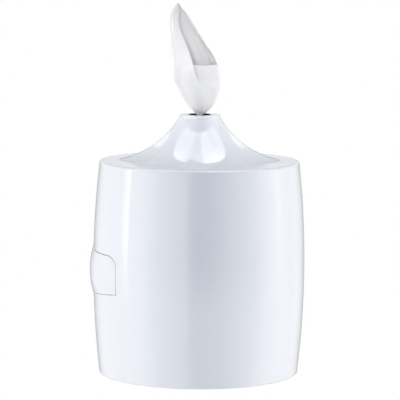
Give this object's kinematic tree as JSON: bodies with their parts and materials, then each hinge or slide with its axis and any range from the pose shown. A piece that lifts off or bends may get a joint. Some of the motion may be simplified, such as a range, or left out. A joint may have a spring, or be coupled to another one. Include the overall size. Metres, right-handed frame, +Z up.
{
  "type": "wall-mounted wipes dispenser",
  "caption": "Round glossy white wall-mounted dispenser for pre-moistened wipes, with a flared neck, slit orifice, folded wipe, hinged front cover and side press latch.",
  "frame": {"origin": "centre of the four wall screw holes, on the wall plane", "axes": "+Z up, -Y towards the front of the dispenser, +Y into the wall, +X to the viewer's right when facing the front"},
  "size_m": [0.2808, 0.2762, 0.4855],
  "materials": {
    "white_shell": "glossy moulded",
    "white_inner": "satin moulded",
    "black_rubber": "matt",
    "steel": "zinc plated",
    "spring_steel": "bright spring steel",
    "wipe_cloth": "non-woven cloth",
    "film": "translucent film"
  },
  "bodies": {
    "housing": {"rear_housing": "white_shell", "base_tray": "white_inner", "base_tray_screws": "steel", "hinge_pin_upper": "steel", "hinge_pin_lower": "steel", "hinge_pin_clips": "spring_steel", "latch_strike": "spring_steel", "latch_strike_screws": "steel", "refill_bag": "film", "wipe_roll": "wipe_cloth"},
    "cover": {"front_cover": "white_shell", "nozzle_collar": "white_shell", "nozzle_diaphragm": "black_rubber", "nozzle_retainer": "white_inner", "latch_pivot_pin": "steel", "latch_pin_clip": "spring_steel", "latch_spring": "spring_steel", "latch_spring_screw": "steel"},
    "latch": {"latch_lever": "white_shell"},
    "wipe": {"wipe_feed": "wipe_cloth", "wipe_tail": "wipe_cloth"}
  },
  "joints": [
    {"name": "cover_swing", "type": "hinge", "parent": "housing", "child": "cover", "pos_m": [0.133, -0.1141, 0], "axis": [0, 0, 1], "range_deg": [0, 115], "deforming": ["latch_strike"]},
    {"name": "latch_press", "type": "hinge", "parent": "cover", "child": "latch", "pos_m": [-0.10191, -0.2122, 0], "axis": [0, 0, -1], "range_deg": [0, 4], "stiffness_Nm_per_rad": 8, "springref_deg": -1.15, "deforming": ["latch_spring"]},
    {"name": "wipe_pull", "type": "slide", "parent": "cover", "child": "wipe", "axis": [0, 0, 1], "range_m": [0, 0.1]}
  ]
}
